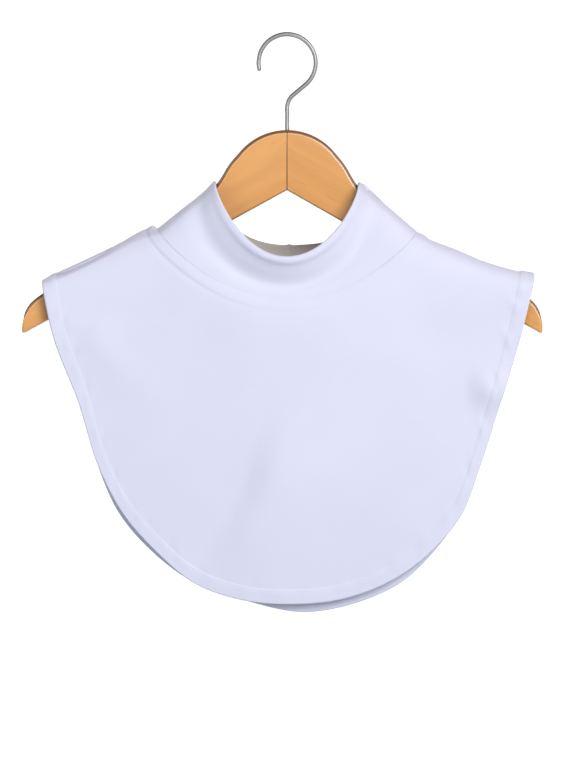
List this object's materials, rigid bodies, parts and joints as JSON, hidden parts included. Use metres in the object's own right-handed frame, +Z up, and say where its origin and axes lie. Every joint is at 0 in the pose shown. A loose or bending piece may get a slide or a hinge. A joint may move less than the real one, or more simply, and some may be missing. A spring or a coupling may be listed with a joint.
{
  "type": "turtleneck dickey on a clothes hanger",
  "caption": "Knitted mock-turtleneck dickey with round-bottomed front and back bibs, hung on a wooden clothes hanger with a wire hook.",
  "frame": {"origin": "underside of the hook's crest, on the centre line of the hanger, where a rail carries it", "axes": "+Z up, -Y towards the front of the dickey, +X to the right seen from the front"},
  "size_m": [0.432, 0.0888, 0.4857],
  "materials": {
    "cloth": "smooth white double knit with a cool cast",
    "wood": "light honey wood under satin varnish",
    "hook_steel": "bright drawn steel wire"
  },
  "bodies": {
    "root": {"front_panel": "cloth", "back_panel": "cloth", "collar_band": "cloth", "hanger_left_arm": "wood", "hanger_right_arm": "wood", "hanger_hook": "hook_steel"}
  },
  "joints": []
}
